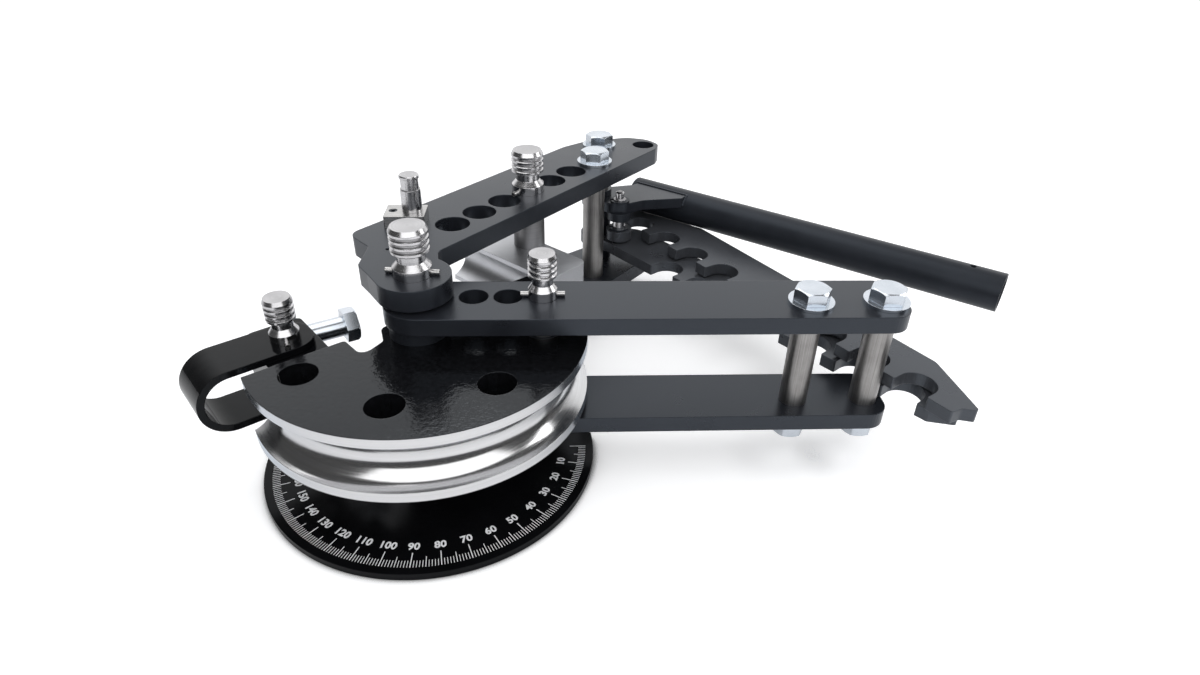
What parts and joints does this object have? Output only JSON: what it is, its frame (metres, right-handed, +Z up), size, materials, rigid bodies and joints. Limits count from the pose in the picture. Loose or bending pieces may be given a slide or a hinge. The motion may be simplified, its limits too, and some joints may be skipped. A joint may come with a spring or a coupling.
{
  "type": "pipe bender",
  "caption": "Manual rotary-draw pipe bender: hinged plate arms, grooved bending die with a tube strap, swivelling follow block, ratchet bars, lever handle and degree plate.",
  "frame": {"origin": "on the main pin's axis, at the underside of the degree plate", "axes": "+X along the drive arm, +Y from the front to the back, +Z up along the main pin"},
  "size_m": [0.8022, 0.5547, 0.2458],
  "materials": {
    "black_plate": "satin black",
    "die_paint": "textured black paint, bright turned groove",
    "gloss_black": "gloss black",
    "machined_steel": "turned and ground",
    "drawn_steel": "raw drawn tube",
    "zinc": "zinc plated",
    "black_oxide": "black oxide"
  },
  "bodies": {
    "frame": {"frame_arm_upper": "black_plate", "frame_arm_lower": "black_plate", "frame_spacers": "drawn_steel", "frame_bolts": "zinc", "frame_washers": "zinc", "frame_nuts": "zinc", "pivot_washers": "machined_steel", "follow_spacer": "machined_steel", "plunger_block": "machined_steel", "plunger_sleeve": "machined_steel", "plunger_screw": "black_oxide", "pivot_collars": "black_plate"},
    "drive_arm": {"drive_arm_upper": "black_plate", "drive_arm_lower": "black_plate", "drive_spacers": "drawn_steel", "drive_bolts": "zinc", "drive_washers": "zinc", "drive_nuts": "zinc", "bending_die": "die_paint", "strap_lug": "die_paint", "die_spacers": "machined_steel", "drive_bushing": "machined_steel"},
    "main_pin_body": {"main_pin": "machined_steel", "main_cross_pin": "machined_steel"},
    "follow_pin_body": {"follow_pin": "machined_steel", "follow_cross_pin": "machined_steel"},
    "follow_block_body": {"follow_block": "machined_steel"},
    "plunger": {"plunger_rod": "machined_steel", "plunger_spring": "machined_steel"},
    "drive_pin_body": {"drive_pin": "machined_steel", "drive_cross_pin": "machined_steel"},
    "strap": {"tube_strap": "gloss_black"},
    "strap_pin_body": {"strap_pin": "machined_steel", "strap_cross_pin": "machined_steel"},
    "clamp_bolt_body": {"clamp_bolt": "zinc"},
    "dial": {"degree_plate": "gloss_black", "degree_hub": "machined_steel", "degree_screws": "black_oxide"},
    "handle": {"handle_tube": "gloss_black", "handle_plate": "black_plate", "handle_boss": "black_plate", "pull_pin": "machined_steel", "pull_pin_clips": "machined_steel"},
    "pull_bar": {"pull_ratchet": "black_plate"},
    "hold_bar": {"hold_ratchet": "black_plate"}
  },
  "joints": [
    {"name": "main_pivot", "type": "hinge", "parent": "frame", "child": "drive_arm", "pos_m": [0, 0, 0.1104], "axis": [0, 0, 1], "range_deg": [-45, 0]},
    {"name": "main_pin_lift", "type": "slide", "parent": "frame", "child": "main_pin_body", "axis": [0, 0, 1], "range_m": [0, 0.2]},
    {"name": "follow_pin_lift", "type": "slide", "parent": "frame", "child": "follow_pin_body", "axis": [0, 0, 1], "range_m": [0, 0.17]},
    {"name": "follow_swivel", "type": "hinge", "parent": "frame", "child": "follow_block_body", "pos_m": [0.09109, 0.18814, 0.1104], "axis": [0, 0, 1], "range_deg": [-2, 20]},
    {"name": "plunger_lift", "type": "slide", "parent": "frame", "child": "plunger", "axis": [0, 0, 1], "range_m": [0, 0.018], "stiffness_N_per_m": 400, "springref_m": -0.02, "deforming": ["plunger_spring"]},
    {"name": "drive_pin_lift", "type": "slide", "parent": "drive_arm", "child": "drive_pin_body", "axis": [0, 0, 1], "range_m": [0, 0.125]},
    {"name": "strap_swing", "type": "hinge", "parent": "drive_arm", "child": "strap", "pos_m": [-0.11418, -0.00807, 0.1104], "axis": [0, 0, 1], "range_deg": [-75, 0]},
    {"name": "strap_pin_lift", "type": "slide", "parent": "drive_arm", "child": "strap_pin_body", "axis": [0, 0, 1], "range_m": [0, 0.065]},
    {"name": "clamp_screw", "type": "slide", "parent": "drive_arm", "child": "clamp_bolt_body", "axis": [0.8704, 0.4924, 0], "range_m": [0, 0.025]},
    {"name": "dial_turn", "type": "hinge", "parent": "frame", "child": "dial", "pos_m": [0, 0, 0.003], "axis": [0, 0, 1], "continuous": true},
    {"name": "handle_swing", "type": "hinge", "parent": "frame", "child": "handle", "pos_m": [0.17309, 0.33418, 0.11797], "axis": [0, 0, 1], "range_deg": [0, 100]},
    {"name": "pull_bar_pivot", "type": "hinge", "parent": "handle", "child": "pull_bar", "pos_m": [0.19899, 0.30898, 0.08785], "axis": [0, 0, 1], "range_deg": [-100, 0]},
    {"name": "hold_bar_pivot", "type": "hinge", "parent": "frame", "child": "hold_bar", "pos_m": [0.17309, 0.33418, 0.07785], "axis": [0, 0, 1], "range_deg": [0, 20]}
  ],
  "couplings": [
    {"joint": "pull_bar_pivot", "follows": "handle_swing", "ratio": -1}
  ]
}
